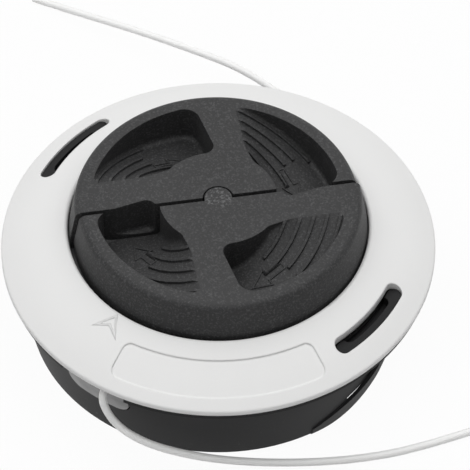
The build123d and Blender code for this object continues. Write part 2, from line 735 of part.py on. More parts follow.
# Cutter for one finger pocket: its outline, above the floor and the ribs
with BuildPart() as pocket_cutter:
    with BuildSketch(Plane.XY.offset(knob_top - 2 * POCKET_DEPTH)) as pocket_outline:
        with BuildLine():
            outer_deep = polar(pocket_outer_radius, POCKET_DEEP_OUTER_AZIMUTH)
            inner_deep = polar(POCKET_INNER_RADIUS, POCKET_DEEP_INNER_AZIMUTH)
            shoulder_point = polar(POCKET_INNER_RADIUS, POCKET_SHOULDER_AZIMUTH)
            neck_point = polar(POCKET_NECK_RADIUS, POCKET_NECK_AZIMUTH)
            shallow_point = polar(pocket_outer_radius, POCKET_SHALLOW_AZIMUTH)
            outer_span = POCKET_SHALLOW_AZIMUTH - POCKET_DEEP_OUTER_AZIMUTH
            inner_span = POCKET_SHOULDER_AZIMUTH - POCKET_DEEP_INNER_AZIMUTH
            CenterArc((0, 0), pocket_outer_radius, POCKET_DEEP_OUTER_AZIMUTH, outer_span)
            CenterArc((0, 0), POCKET_INNER_RADIUS, POCKET_DEEP_INNER_AZIMUTH, inner_span)
            Polyline(shoulder_point, neck_point, shallow_point)
            Line(outer_deep, inner_deep)
        make_face()
        fillet(pocket_outline.vertices().sort_by_distance(outer_deep)[0], POCKET_OUTER_ROUND)
        fillet(pocket_outline.vertices().sort_by_distance(inner_deep)[0], POCKET_DEEP_ROUND)
        fillet(pocket_outline.vertices().sort_by_distance(shoulder_point)[0], POCKET_SHOULDER_ROUND)
    extrude(amount=3 * POCKET_DEPTH)
    add(Solid.extrude(ramp_face(0), Vector(0, 0, 2 * POCKET_DEPTH)), mode=Mode.INTERSECT)
    foot_edges = pocket_cutter.edges().filter_by_position(
        Axis.Z,
        knob_top - POCKET_DEPTH - POCKET_FOOT_ROUND,
        knob_top - POCKET_DEPTH / 2,
    )
    fillet(foot_edges, POCKET_FOOT_ROUND)
    add(grip_ribs.part, mode=Mode.SUBTRACT)

# Whole knob before it is parted along the slit
hollow_top = knob_top - POCKET_DEPTH - KNOB_FLOOR
with BuildPart() as knob:
    with BuildSketch(Plane.XZ) as knob_section:
        with BuildLine():
            Polyline(
                (0, spool_top),
                (KNOB_BOSS_RADIUS, spool_top),
                (KNOB_BOSS_RADIUS, hollow_top),
                (knob_radius - KNOB_WALL, hollow_top),
                (knob_radius - KNOB_WALL, spool_top),
                (knob_radius, spool_top),
                (knob_radius, cover_rim_z),
                (knob_top_radius, knob_top),
                (0, knob_top),
                close=True,
            )
        make_face()
        fillet(knob_section.vertices().sort_by_distance((knob_top_radius, knob_top))[0], KNOB_EDGE_ROUND)
    revolve(axis=Axis.Z)
    with PolarLocations(0, POCKET_COUNT):
        add(pocket_cutter.part, mode=Mode.SUBTRACT)

# Socket for the spool's spigot, and the disc at the knob's centre, which the near half carries
slit_normal = (*polar(1, SLIT_AZIMUTH + 90), 0)
socket_height = SPIGOT_HEIGHT + FIT_GAP
socket_centre = (0, 0, spool_top + socket_height / 2)
disc_centre = (0, 0, knob_top - CENTRE_DISC_DEPTH / 2)
with BuildPart() as knob_near_half:
    with Locations(polar(HALF_OFFSET, SLIT_AZIMUTH)):
        add(knob.part)
    near_edge = (*polar(-SLIT_WIDTH / 2, SLIT_AZIMUTH + 90), 0)
    split(bisect_by=Plane(origin=near_edge, z_dir=slit_normal), keep=Keep.BOTTOM)
    with Locations(disc_centre):
        Cylinder(CENTRE_DISC_RADIUS, CENTRE_DISC_DEPTH)
    with Locations(socket_centre):
        Cylinder(SPIGOT_RADIUS + FIT_GAP, socket_height, mode=Mode.SUBTRACT)
knob_near_half.part.label = "knob_near_half"
export_step(knob_near_half.part, "parts/knob_near_half.step")

with BuildPart() as knob_far_half:
    with Locations(polar(-HALF_OFFSET, SLIT_AZIMUTH)):
        add(knob.part)
    far_edge = (*polar(SLIT_WIDTH / 2, SLIT_AZIMUTH + 90), 0)
    split(bisect_by=Plane(origin=far_edge, z_dir=slit_normal), keep=Keep.TOP)
    with Locations(disc_centre):
        Cylinder(
            CENTRE_DISC_RADIUS + CENTRE_DISC_GAP,
            CENTRE_DISC_DEPTH + CENTRE_DISC_GAP,
            mode=Mode.SUBTRACT,
        )
    with Locations(socket_centre):
        Cylinder(SPIGOT_RADIUS + FIT_GAP, socket_height, mode=Mode.SUBTRACT)
knob_far_half.part.label = "knob_far_half"
export_step(knob_far_half.part, "parts/knob_far_half.step")

for node, route in (("line_front", FRONT_ROUTE), ("line_rear", REAR_ROUTE)):
    points = route_points(route)
    radii = bend_radii(points)
    with BuildPart() as trimmer_line:
        with BuildLine() as line_path:
            FilletPolyline(*points, radius=radii)
        with BuildSketch(Plane(origin=line_path.line @ 0, z_dir=line_path.line % 0)):
            Circle(LINE_DIAMETER / 2)
        sweep(path=line_path.line)
    length = line_path.wire().length
    print(node, "length", round(length, 1), "bend radii", [round(radius, 1) for radius in radii])
    full_volume = pi * LINE_DIAMETER**2 / 4 * length
    print(node, "volume", round(trimmer_line.part.volume, 1), "section times length", round(full_volume, 1))
    trimmer_line.part.label = node
    export_step(trimmer_line.part, f"parts/{node}.step")
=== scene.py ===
"""Looks of a two-line bump-feed trimmer head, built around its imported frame.

Every piece is in metres and in the frame's own axes: the origin is on the spin axis at the
gearbox face, and +Z points towards the bump knob. The camera looks along +Y, down onto the knob.
"""

from __future__ import annotations

import logging
import math
from dataclasses import dataclass, field
from enum import Enum
from typing import Any

import bmesh
import bpy
from mathutils import Matrix, Vector
from mathutils.bvhtree import BVHTree

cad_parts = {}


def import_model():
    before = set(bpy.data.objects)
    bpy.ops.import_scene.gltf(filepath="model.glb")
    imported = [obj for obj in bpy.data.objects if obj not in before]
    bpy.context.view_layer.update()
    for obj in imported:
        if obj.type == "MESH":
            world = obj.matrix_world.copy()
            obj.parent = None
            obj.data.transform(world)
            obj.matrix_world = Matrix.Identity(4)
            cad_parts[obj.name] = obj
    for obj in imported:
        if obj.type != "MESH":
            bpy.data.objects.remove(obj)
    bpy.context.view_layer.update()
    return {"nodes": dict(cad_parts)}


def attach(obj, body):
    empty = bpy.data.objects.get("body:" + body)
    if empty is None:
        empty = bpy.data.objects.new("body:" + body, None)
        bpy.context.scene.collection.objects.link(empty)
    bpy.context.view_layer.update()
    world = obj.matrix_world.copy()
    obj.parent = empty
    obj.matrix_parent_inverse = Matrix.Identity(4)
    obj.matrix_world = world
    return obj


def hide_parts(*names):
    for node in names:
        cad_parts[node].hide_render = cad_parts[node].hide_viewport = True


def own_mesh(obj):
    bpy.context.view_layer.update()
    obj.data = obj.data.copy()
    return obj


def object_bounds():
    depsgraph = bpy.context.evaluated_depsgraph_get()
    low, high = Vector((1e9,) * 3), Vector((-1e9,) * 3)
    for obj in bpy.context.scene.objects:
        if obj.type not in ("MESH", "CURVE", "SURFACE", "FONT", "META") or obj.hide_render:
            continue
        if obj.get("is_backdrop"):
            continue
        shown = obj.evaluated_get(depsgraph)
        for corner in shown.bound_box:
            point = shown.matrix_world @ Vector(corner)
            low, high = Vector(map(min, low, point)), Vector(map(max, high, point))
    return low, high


LOG = logging.getLogger("trimmer_head")
MM = 0.001
SINK = 0.1 * MM

Colour = tuple[float, float, float]
Point = tuple[float, float, float]


class Effect(Enum):
    """Surface effects that several finishes share, each one shader node group."""

    MOULD_GRAIN = "mould_grain"
    TONE_DRIFT = "tone_drift"
    FINE_SCUFFS = "fine_scuffs"
    THREAD_TURNS = "thread_turns"


class Body(Enum):
    """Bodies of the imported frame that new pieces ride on."""

    HOUSING = "housing"
    SPOOL = "spool"


class NodeBench:
    """Adds nodes to one shader tree and joins them."""

    def __init__(self, tree: bpy.types.NodeTree) -> None:
        """Keeps the tree that the nodes go into."""
        self.tree = tree

    def add(
        self, kind: str, inputs: dict[str | int, Any] | None = None, **settings: Any
    ) -> bpy.types.Node:
        """Adds a node, sets its properties and fills its inputs.

        Args:
            kind: Blender's name of the node type.
            inputs: Values or output sockets, by the input's name or number.
            settings: Plain properties of the node.

        Returns:
            The new node.
        """
        node = self.tree.nodes.new(kind)
        for name, value in settings.items():
            setattr(node, name, value)
        for name, value in (inputs or {}).items():
            self.feed(node.inputs[name], value)
        return node

    def feed(self, socket: bpy.types.NodeSocket, value: Any) -> None:
        """Links an output socket to an input, or sets a plain value on it."""
        if isinstance(value, bpy.types.NodeSocket):
            self.tree.links.new(value, socket)
        else:
            socket.default_value = value

    def math(self, operation: str, first: Any, second: Any = 0.0) -> bpy.types.NodeSocket:
        """Adds a Math node and gives its output."""
        return self.add("ShaderNodeMath", {0: first, 1: second}, operation=operation).outputs[0]

    def ramp(
        self, value: Any, low: float, high: float, start: float = 0.0, end: float = 1.0
    ) -> bpy.types.NodeSocket:
        """Maps a value from one range to another, clamped, and gives the output."""
        inputs = {"Value": value, "From Min": low, "From Max": high, "To Min": start, "To Max": end}
        return self.add("ShaderNodeMapRange", inputs).outputs["Result"]

    def mix_colour(self, factor: Any, first: Any, second: Any) -> bpy.types.NodeSocket:
        """Mixes two colours and gives the output."""
        node = self.add("ShaderNodeMix", data_type="RGBA")
        self.feed(node.inputs["Factor"], factor)
        self.feed(node.inputs["A"], first)
        self.feed(node.inputs["B"], second)
        return next(out for out in node.outputs if out.type == "RGBA")


class EffectShelf:
    """Builds the shared node groups once and hands them out."""

    PIT_FINENESS = 2.6
    COARSE_SHARE = 0.7
    PIT_SHARE = 0.3
    BRIGHT_GRAINS = (0.5, 0.72)
    DRIFT_SPREAD = (0.3, 0.7)
    SCUFF_STRETCH = (1.0, 0.08, 0.5)
    SCUFF_PATCHES = 60.0
    HAIRLINES = (0.66, 0.76)
    SCUFFED_AREA = (0.5, 0.7)

    def __init__(self) -> None:
        """Builds every group."""
        self.groups: dict[Effect, bpy.types.NodeTree] = {
            Effect.MOULD_GRAIN: self._mould_grain(),
            Effect.TONE_DRIFT: self._tone_drift(),
            Effect.FINE_SCUFFS: self._fine_scuffs(),
            Effect.THREAD_TURNS: self._thread_turns(),
        }

    def place(self, bench: NodeBench, effect: Effect, inputs: dict[str, Any]) -> bpy.types.Node:
        """Puts one effect into a material.

        Args:
            bench: The material's bench.
            effect: Which group to place.
            inputs: Values or sockets for the group's named inputs.

        Returns:
            The group node.
        """
        node = bench.add("ShaderNodeGroup")
        node.node_tree = self.groups[effect]
        for name, value in inputs.items():
            bench.feed(node.inputs[name], value)
        return node

    def tones(
        self,
        bench: NodeBench,
        place: bpy.types.NodeSocket,
        scale: float,
        pair: tuple[Colour, Colour],
    ) -> bpy.types.NodeSocket:
        """Places the slow drift between two tones.

        Args:
            bench: The material's bench.
            place: Where on the piece the drift is read.
            scale: Fineness of the drift.
            pair: Both tones.

        Returns:
            The colour's socket.
        """
        tone, other_tone = (opaque(colour) for colour in pair)
        inputs = {"Vector": place, "Scale": scale, "Tone": tone, "Other Tone": other_tone}
        return self.place(bench, Effect.TONE_DRIFT, inputs).outputs["Colour"]

    @staticmethod
    def _start(
        effect: Effect, inputs: dict[str, str], outputs: dict[str, str]
    ) -> tuple[NodeBench, Any, Any]:
        """Makes an empty group with named sockets.

        Args:
            effect: Names the group.
            inputs: Socket types by input name.
            outputs: Socket types by output name.

        Returns:
            The group's bench, its input node and its output node.
        """
        tree = bpy.data.node_groups.new(effect.value, "ShaderNodeTree")
        for name, kind in inputs.items():
            tree.interface.new_socket(name=name, in_out="INPUT", socket_type=kind)
        for name, kind in outputs.items():
            tree.interface.new_socket(name=name, in_out="OUTPUT", socket_type=kind)
        bench = NodeBench(tree)
        return bench, bench.add("NodeGroupInput"), bench.add("NodeGroupOutput")

    def _mould_grain(self) -> bpy.types.NodeTree:
        """Fine spark-eroded grain of a mould: a height and a mask of its bright grains."""
        bench, given, result = self._start(
            Effect.MOULD_GRAIN,
            {"Vector": "NodeSocketVector", "Scale": "NodeSocketFloat"},
            {"Height": "NodeSocketFloat", "Grains": "NodeSocketFloat"},
        )
        coarse = bench.add(
            "ShaderNodeTexNoise",
            {
                "Vector": given.outputs["Vector"],
                "Scale": given.outputs["Scale"],
                "Detail": 3.0,
                "Roughness": 0.65,
            },
        )
        finer = bench.math("MULTIPLY", given.outputs["Scale"], self.PIT_FINENESS)
        pits = bench.add(
            "ShaderNodeTexVoronoi",
            {"Vector": given.outputs["Vector"], "Scale": finer},
            feature="SMOOTH_F1",
        )
        rough = bench.math("MULTIPLY", coarse.outputs["Fac"], self.COARSE_SHARE)
        pitted = bench.math("MULTIPLY", pits.outputs["Distance"], self.PIT_SHARE)
        bench.feed(result.inputs["Height"], bench.math("ADD", rough, pitted))
        grains = bench.ramp(coarse.outputs["Fac"], *self.BRIGHT_GRAINS)
        bench.feed(result.inputs["Grains"], grains)
        return bench.tree

    def _tone_drift(self) -> bpy.types.NodeTree:
        """Slow change between two tones of one moulding."""
        bench, given, result = self._start(
            Effect.TONE_DRIFT,
            {
                "Vector": "NodeSocketVector",
                "Scale": "NodeSocketFloat",
                "Tone": "NodeSocketColor",
                "Other Tone": "NodeSocketColor",
            },
            {"Colour": "NodeSocketColor"},
        )
        clouds = bench.add(
            "ShaderNodeTexNoise",
            {"Vector": given.outputs["Vector"], "Scale": given.outputs["Scale"], "Detail": 2.0},
        )
        share = bench.ramp(clouds.outputs["Fac"], *self.DRIFT_SPREAD)
        mixed = bench.mix_colour(share, given.outputs["Tone"], given.outputs["Other Tone"])
        bench.feed(result.inputs["Colour"], mixed)
        return bench.tree

    def _fine_scuffs(self) -> bpy.types.NodeTree:
        """Short hairline scuffs that run one way."""
        bench, given, result = self._start(
            Effect.FINE_SCUFFS,
            {"Vector": "NodeSocketVector", "Scale": "NodeSocketFloat"},
            {"Mask": "NodeSocketFloat"},
        )
        stretched = bench.add(
            "ShaderNodeVectorMath",
            {0: given.outputs["Vector"], 1: self.SCUFF_STRETCH},
            operation="MULTIPLY",
        )
        hairs = bench.add(
            "ShaderNodeTexNoise",
            {"Vector": stretched.outputs["Vector"], "Scale": given.outputs["Scale"], "Detail": 1.0},
        )
        patches = bench.add(
            "ShaderNodeTexNoise",
            {"Vector": given.outputs["Vector"], "Scale": self.SCUFF_PATCHES, "Detail": 1.0},
        )
        lines = bench.ramp(hairs.outputs["Fac"], *self.HAIRLINES)
        area = bench.ramp(patches.outputs["Fac"], *self.SCUFFED_AREA)
        bench.feed(result.inputs["Mask"], bench.math("MULTIPLY", lines, area))
        return bench.tree

    def _thread_turns(self) -> bpy.types.NodeTree:
        """Left-hand thread about the spin axis: a height that is flat outside the bore."""
        bench, given, result = self._start(
            Effect.THREAD_TURNS,
            {"Vector": "NodeSocketVector", "Pitch": "NodeSocketFloat", "Bore": "NodeSocketFloat"},
            {"Height": "NodeSocketFloat"},
        )
        axes = bench.add("ShaderNodeSeparateXYZ", {0: given.outputs["Vector"]}).outputs
        angle = bench.math("DIVIDE", bench.math("ARCTAN2", axes["Y"], axes["X"]), 2 * math.pi)
        phase = bench.math("ADD", bench.math("DIVIDE", axes["Z"], given.outputs["Pitch"]), angle)
        crest = bench.math("PINGPONG", phase, 0.5)
        across = bench.math("ADD", squared(bench, axes["X"]), squared(bench, axes["Y"]))
        radius = bench.math("POWER", across, 0.5)
        inside = bench.math("LESS_THAN", radius, given.outputs["Bore"])
        bench.feed(result.inputs["Height"], bench.math("MULTIPLY", crest, inside))
        return bench.tree


def squared(bench: NodeBench, value: bpy.types.NodeSocket) -> bpy.types.NodeSocket:
    """Multiplies a value by itself."""
    return bench.math("MULTIPLY", value, value)


def dulled(
    bench: NodeBench, height: bpy.types.NodeSocket, roughness: float, spread: float
) -> bpy.types.NodeSocket:
    """Roughness that follows the grain's height.

    Args:
        bench: The material's bench.
        height: The grain's height.
        roughness: Middle of the roughness.
        spread: Change from the lowest to the highest grain.

    Returns:
        The roughness socket.
    """
    dull = bench.math("MULTIPLY_ADD", height, spread)
    dull.node.inputs[2].default_value = roughness - spread / 2
    return dull


def fresh_material(
    name: str,
) -> tuple[bpy.types.Material, NodeBench, bpy.types.Node, bpy.types.NodeSocket]:
    """Makes a material with one Principled shader.

    Args:
        name: Name of the finish.

    Returns:
        The material, its bench, the shader and the Object coordinates.
    """
    material = bpy.data.materials.new(name)
    material.use_nodes = True
    material.node_tree.nodes.clear()
    bench = NodeBench(material.node_tree)
    shader = bench.add("ShaderNodeBsdfPrincipled")
    output = bench.add("ShaderNodeOutputMaterial")
    bench.feed(output.inputs["Surface"], shader.outputs["BSDF"])
    place = bench.add("ShaderNodeTexCoord").outputs["Object"]
    return material, bench, shader, place


def opaque(colour: Colour) -> tuple[float, float, float, float]:
    """Gives a colour its alpha."""
    return (*colour, 1.0)


@dataclass(frozen=True)
class MouldedPlastic:
    """Injection moulded plastic with a spark-eroded grain."""

    name: str
    tone: Colour
    other_tone: Colour
    grain_tone: Colour
    roughness: float
    grain_size: float
    grain_depth: float
    grain_share: float
    edge_round: float
    specular: float = 0.5
    drift_size: float = 30 * MM
    rough_spot: float = 0.0
    spot_share: float = 2.5
    spot_edge: float = 0.9
    rough_spread: float = 0.16
    scuff_scale: float = 1200.0
    scuff_gloss: float = 0.12
    edge_samples: int = 6

    def material(self, shelf: EffectShelf) -> bpy.types.Material:
        """Builds the material.

        Args:
            shelf: The shared node groups.

        Returns:
            The finished material.
        """
        material, bench, shader, place = fresh_material(self.name)
        drift = shelf.tones(bench, place, 1 / self.drift_size, (self.tone, self.other_tone))
        grain_inputs = {"Vector": place, "Scale": 1 / self.grain_size}
        grain = shelf.place(bench, Effect.MOULD_GRAIN, grain_inputs)
        scuff_inputs = {"Vector": place, "Scale": self.scuff_scale}
        scuffs = shelf.place(bench, Effect.FINE_SCUFFS, scuff_inputs)
        share = bench.math("MULTIPLY", grain.outputs["Grains"], self._share(bench, place))
        colour = bench.mix_colour(share, drift, opaque(self.grain_tone))
        bench.feed(shader.inputs["Base Color"], colour)
        dull = dulled(bench, grain.outputs["Height"], self.roughness, self.rough_spread)
        rubbed = bench.math("MULTIPLY", scuffs.outputs["Mask"], self.scuff_gloss)
        bench.feed(shader.inputs["Roughness"], bench.math("SUBTRACT", dull, rubbed))
        shader.inputs["Specular IOR Level"].default_value = self.specular
        rounded = bench.add(
            "ShaderNodeBevel", {"Radius": self.edge_round}, samples=self.edge_samples
        )
        bump = bench.add(
            "ShaderNodeBump",
            {
                "Height": grain.outputs["Height"],
                "Distance": self.grain_depth,
                "Strength": 1.0,
                "Normal": rounded.outputs["Normal"],
            },
        )
        bench.feed(shader.inputs["Normal"], bump.outputs["Normal"])
        return material

    def _share(self, bench: NodeBench, place: bpy.types.NodeSocket) -> Any:
        """Share of bright grains: even, or larger inside the rough spot on the spin axis."""
        if not self.rough_spot:
            return self.grain_share
        flat = bench.add(
            "ShaderNodeVectorMath", {0: place, 1: (1.0, 1.0, 0.0)}, operation="MULTIPLY"
        )
        length = bench.add(
            "ShaderNodeVectorMath", {0: flat.outputs["Vector"]}, operation="LENGTH"
        )
        radius = length.outputs["Value"]
        inner = self.spot_edge * self.rough_spot
        return bench.ramp(radius, self.rough_spot, inner, self.grain_share, self.spot_share)


@dataclass(frozen=True)
class SatinMetal:
    """Bare metal with a fine satin finish and faint drawing lines."""

    name: str
    tone: Colour
    other_tone: Colour
    roughness: float
    grain_size: float
    grain_depth: float
    thread_pitch: float = 0.0
    thread_depth: float = 0.4 * MM
    bore: float = 4.6 * MM
    tone_scale: float = 160.0
    rough_spread: float = 0.2
    scuff_scale: float = 2400.0
    scuff_dulling: float = 0.15

    def material(self, shelf: EffectShelf) -> bpy.types.Material:
        """Builds the material.

        Args:
            shelf: The shared node groups.

        Returns:
            The finished material.
        """
        material, bench, shader, place = fresh_material(self.name)
        drift = shelf.tones(bench, place, self.tone_scale, (self.tone, self.other_tone))
        grain_inputs = {"Vector": place, "Scale": 1 / self.grain_size}
        grain = shelf.place(bench, Effect.MOULD_GRAIN, grain_inputs)
        scuff_inputs = {"Vector": place, "Scale": self.scuff_scale}
        scuffs = shelf.place(bench, Effect.FINE_SCUFFS, scuff_inputs)
        bench.feed(shader.inputs["Base Color"], drift)
        shader.inputs["Metallic"].default_value = 1.0
        rubbed = bench.math("MULTIPLY", scuffs.outputs["Mask"], self.scuff_dulling)
        dull = dulled(bench, grain.outputs["Height"], self.roughness, self.rough_spread)
        bench.feed(shader.inputs["Roughness"], bench.math("ADD", dull, rubbed))
        bump = bench.add(
            "ShaderNodeBump",
            {"Height": grain.outputs["Height"], "Distance": self.grain_depth, "Strength": 1.0},
        )
        if self.thread_pitch:
            turn_inputs = {"Vector": place, "Pitch": self.thread_pitch, "Bore": self.bore}
            turns = shelf.place(bench, Effect.THREAD_TURNS, turn_inputs)
            bump = bench.add(
                "ShaderNodeBump",
                {
                    "Height": turns.outputs["Height"],
                    "Distance": self.thread_depth,
                    "Strength": 1.0,
                    "Normal": bump.outputs["Normal"],
                },
            )
        bench.feed(shader.inputs["Normal"], bump.outputs["Normal"])
        return material


@dataclass(frozen=True)
class NaturalNylon:
    """Uncoloured nylon monofilament, milky and smooth."""

    name: str
    tone: Colour
    other_tone: Colour
    roughness: float
    milkiness: float
    tone_scale: float = 90.0
    grain_scale: float = 900.0
    rough_spread: float = 0.1
    glow_depth: float = 1.5 * MM

    def material(self, shelf: EffectShelf) -> bpy.types.Material:
        """Builds the material.

        Args:
            shelf: The shared node groups.

        Returns:
            The finished material.
        """
        material, bench, shader, place = fresh_material(self.name)
        drift = shelf.tones(bench, place, self.tone_scale, (self.tone, self.other_tone))
        grain_inputs = {"Vector": place, "Scale": self.grain_scale}
        grain = shelf.place(bench, Effect.MOULD_GRAIN, grain_inputs)
        bench.feed(shader.inputs["Base Color"], drift)
        dull = dulled(bench, grain.outputs["Height"], self.roughness, self.rough_spread)
        bench.feed(shader.inputs["Roughness"], dull)
        shader.inputs["Subsurface Weight"].default_value = self.milkiness
        shader.inputs["Subsurface Scale"].default_value = self.glow_depth
        shader.inputs["Subsurface Radius"].default_value = (1.0, 1.0, 1.0)
        return material


Finish = MouldedPlastic | SatinMetal | NaturalNylon


@dataclass(frozen=True)
class Finishes:
    """Finishes of the whole head."""

    knob: MouldedPlastic = MouldedPlastic(
        name="knob_black_grained",
        tone=(0.025, 0.025, 0.0255),
        other_tone=(0.033, 0.033, 0.0335),
        grain_tone=(0.11, 0.11, 0.112),
        roughness=0.52,
        grain_size=0.65 * MM,
        grain_depth=0.13 * MM,
        grain_share=0.65,
        edge_round=0.35 * MM,
        specular=0.2,
        rough_spot=4.2 * MM,
    )
    housing: MouldedPlastic = MouldedPlastic(
        name="housing_black_satin",
        tone=(0.012, 0.012, 0.0125),
        other_tone=(0.015, 0.015, 0.0155),
        grain_tone=(0.028, 0.028, 0.029),
        roughness=0.55,
        grain_size=0.5 * MM,
        grain_depth=0.02 * MM,
        grain_share=0.3,
        edge_round=0.3 * MM,
        specular=0.11,
    )
    spool: MouldedPlastic = MouldedPlastic(
        name="spool_black_smooth",
        tone=(0.04, 0.04, 0.042),
        other_tone=(0.046, 0.046, 0.047),
        grain_tone=(0.06, 0.06, 0.06),
        roughness=0.45,
        grain_size=0.4 * MM,
        grain_depth=0.01 * MM,
        grain_share=0.2,
        edge_round=0.25 * MM,
    )
    cover: MouldedPlastic = MouldedPlastic(
        name="cover_white_satin",
        tone=(0.84, 0.84, 0.835),
        other_tone=(0.825, 0.825, 0.82),
        grain_tone=(0.87, 0.87, 0.865),
        roughness=0.5,
        grain_size=0.45 * MM,
        grain_depth=0.008 * MM,
        grain_share=0.3,
        edge_round=0.8 * MM,
        specular=0.3,
    )
    eyelet: SatinMetal = SatinMetal(
        name="eyelet_satin_metal",
        tone=(0.28, 0.28, 0.28),
        other_tone=(0.21, 0.21, 0.21),
        roughness=0.6,
        grain_size=0.4 * MM,
        grain_depth=0.01 * MM,
    )
    nut: SatinMetal = SatinMetal(
        name="nut_plated_steel",
        tone=(0.56, 0.55, 0.52),
        other_tone=(0.48, 0.47, 0.44),
        roughness=0.34,
        grain_size=0.5 * MM,
        grain_depth=0.01 * MM,
        thread_pitch=1.0 * MM,
    )
    spring: SatinMetal = SatinMetal(
        name="spring_drawn_steel",
        tone=(0.42, 0.42, 0.43),
        other_tone=(0.36, 0.36, 0.37),
        roughness=0.38,
        grain_size=0.3 * MM,
        grain_depth=0.008 * MM,
    )
    line: NaturalNylon = NaturalNylon(
        name="line_natural_nylon",
        tone=(0.96, 0.96, 0.945),
        other_tone=(0.93, 0.93, 0.915),
        roughness=0.38,
        milkiness=0.5,
    )


@dataclass
class FrameParts:
    """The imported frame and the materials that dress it."""

    nodes: dict[str, bpy.types.Object]
    shelf: EffectShelf
    finishes: Finishes = field(default_factory=Finishes)
    made: dict[str, bpy.types.Material] = field(default_factory=dict)

    def material(self, finish: Finish) -> bpy.types.Material:
        """Gives a finish's material, built once."""
        if finish.name not in self.made:
            self.made[finish.name] = finish.material(self.shelf)
        return self.made[finish.name]

    def dress(self, node: str, finish: Finish) -> None:
        """Gives a node of the frame its finish.

        Args:
            node: The node's name.
            finish: The finish that it gets.
        """
        part = self.nodes[node]
        if not part.material_slots:
            part.data.materials.append(None)
        for slot in part.material_slots:
            slot.material = self.material(finish)
        LOG.info("%s dressed with %s", node, finish.name)

    def surface(self, *names: str) -> BVHTree:
        """Search tree of some nodes' faces, to lay pieces on.

        Args:
            names: Nodes to search together.

        Returns:
            The tree, in the frame's axes.
        """
        mesh = bmesh.new()
        for name in names:
            mesh.from_mesh(self.nodes[name].data)
        tree = BVHTree.FromBMesh(mesh)
        mesh.free()
        return tree


def new_piece(
    name: str, mesh: bmesh.types.BMesh, material: bpy.types.Material, body: Body
) -> bpy.types.Object:
    """Turns a bmesh into a piece that rides on a body.

    Args:
        name: The piece's name.
        mesh: Its shape, in the frame's axes; it is freed.
        material: Its material.
        body: What it moves with.

    Returns:
        The new object.
    """
    data = bpy.data.meshes.new(name)
    mesh.to_mesh(data)
    mesh.free()
    data.materials.append(material)
    piece = bpy.data.objects.new(name, data)
    bpy.context.scene.collection.objects.link(piece)
    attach(piece, body.value)
    LOG.info("%s: %d faces on %s", name, len(data.polygons), body.value)
    return piece


def raise_from(mesh: bmesh.types.BMesh, ground: BVHTree, stand: float) -> None:
    """Lays a flat mesh on a surface and gives it a height, up to the object's top.

    Args:
        mesh: Flat shape, in place as seen from above.
        ground: The faces that it lies on.
        stand: Its height above them.
    """
    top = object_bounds()[1][2]
    for vert in mesh.verts:
        above = Vector((vert.co.x, vert.co.y, 2 * top))
        vert.co.z = ground.ray_cast(above, Vector((0.0, 0.0, -1.0)))[0].z - SINK
    raised = bmesh.ops.extrude_face_region(mesh, geom=mesh.faces[:])
    for item in raised["geom"]:
        if isinstance(item, bmesh.types.BMVert):
            item.co.z = min(item.co.z + SINK + stand, top - SINK / 4)
    bmesh.ops.recalc_face_normals(mesh, faces=mesh.faces)


@dataclass(frozen=True)
class RaisedOutline:
    """Outline of a plain sign that stands a little proud of the surface under it."""

    corners: tuple[tuple[float, float], ...]
    line: float
    stand: float
    step: float = 0.7 * MM
    sharpest: float = 0.3

    def build(
        self, name: str, place: Matrix, ground: BVHTree, material: bpy.types.Material, body: Body
    ) -> None:
        """Lays the outline on a surface.

        Args:
            name: The piece's name.
            place: Turns the sign's own axes into the frame's.
            ground: The faces that it lies on.
            material: Its material.
            body: What it moves with.
        """
        mesh = bmesh.new()
        half = self.line / 2
        rims = [
            [mesh.verts.new(place @ Vector((*corner, 0.0))) for corner in self._offset(offset)]
            for offset in (half, -half)
        ]
        count = len(self.corners)
        for number in range(count):
            after = (number + 1) % count
            outer, inner = ((rim[number], rim[after]) for rim in rims)
            mesh.faces.new((*outer, *reversed(inner)))
        for edge in list(mesh.edges):
            cuts = int(edge.calc_length() / self.step)
            if cuts and self._along(edge, rims):
                bmesh.ops.subdivide_edges(mesh, edges=[edge], cuts=cuts, use_grid_fill=False)
        bmesh.ops.triangulate(mesh, faces=mesh.faces)
        raise_from(mesh, ground, self.stand)
        new_piece(name, mesh, material, body)

    @staticmethod
    def _along(edge: bmesh.types.BMEdge, rims: list[list[bmesh.types.BMVert]]) -> bool:
        """Tells whether an edge runs along the outline and not across its line."""
        return any(edge.verts[0] in rim and edge.verts[1] in rim for rim in rims)

    def _offset(self, distance: float) -> list[Vector]:
        """Moves the outline sideways, with its corners kept sharp."""
        points = [Vector(corner) for corner in self.corners]
        moved = []
        for number, point in enumerate(points):
            before = (point - points[number - 1]).normalized()
            after = (points[(number + 1) % len(points)] - point).normalized()
            normal = Vector((before.y + after.y, -before.x - after.x)).normalized()
            reach = distance / max(self.sharpest, normal.dot(Vector((before.y, -before.x))))
            moved.append(point + normal * reach)
        return moved


@dataclass(frozen=True)
class GripRib:
    """Low rib that follows an arc about the spin axis."""

    radius: float
    width: float
    start: float
    end: float
    stand: float
    steps: int = 24

    def build(
        self, name: str, place: Matrix, ground: BVHTree, material: bpy.types.Material, body: Body
    ) -> None:
        """Lays the rib on a surface.

        Args:
            name: The piece's name.
            place: Turns the rib's own axes into the frame's.
            ground: The faces that it lies on.
            material: Its material.
            body: What it moves with.
        """
        mesh = bmesh.new()
        sides = (self.radius, self.radius + self.width)
        ends = [mesh.verts.new((radius, 0.0, 0.0)) for radius in sides]
        across = mesh.edges.new(ends)
        bmesh.ops.rotate(mesh, verts=ends, matrix=Matrix.Rotation(self.start, 3, "Z"))
        bmesh.ops.spin(
            mesh,
            geom=[*ends, across],
            axis=(0.0, 0.0, 1.0),
            angle=self.end - self.start,
            steps=self.steps,
        )
        bmesh.ops.transform(mesh, matrix=place, verts=mesh.verts)
        raise_from(mesh, ground, self.stand)
        new_piece(name, mesh, material, body)


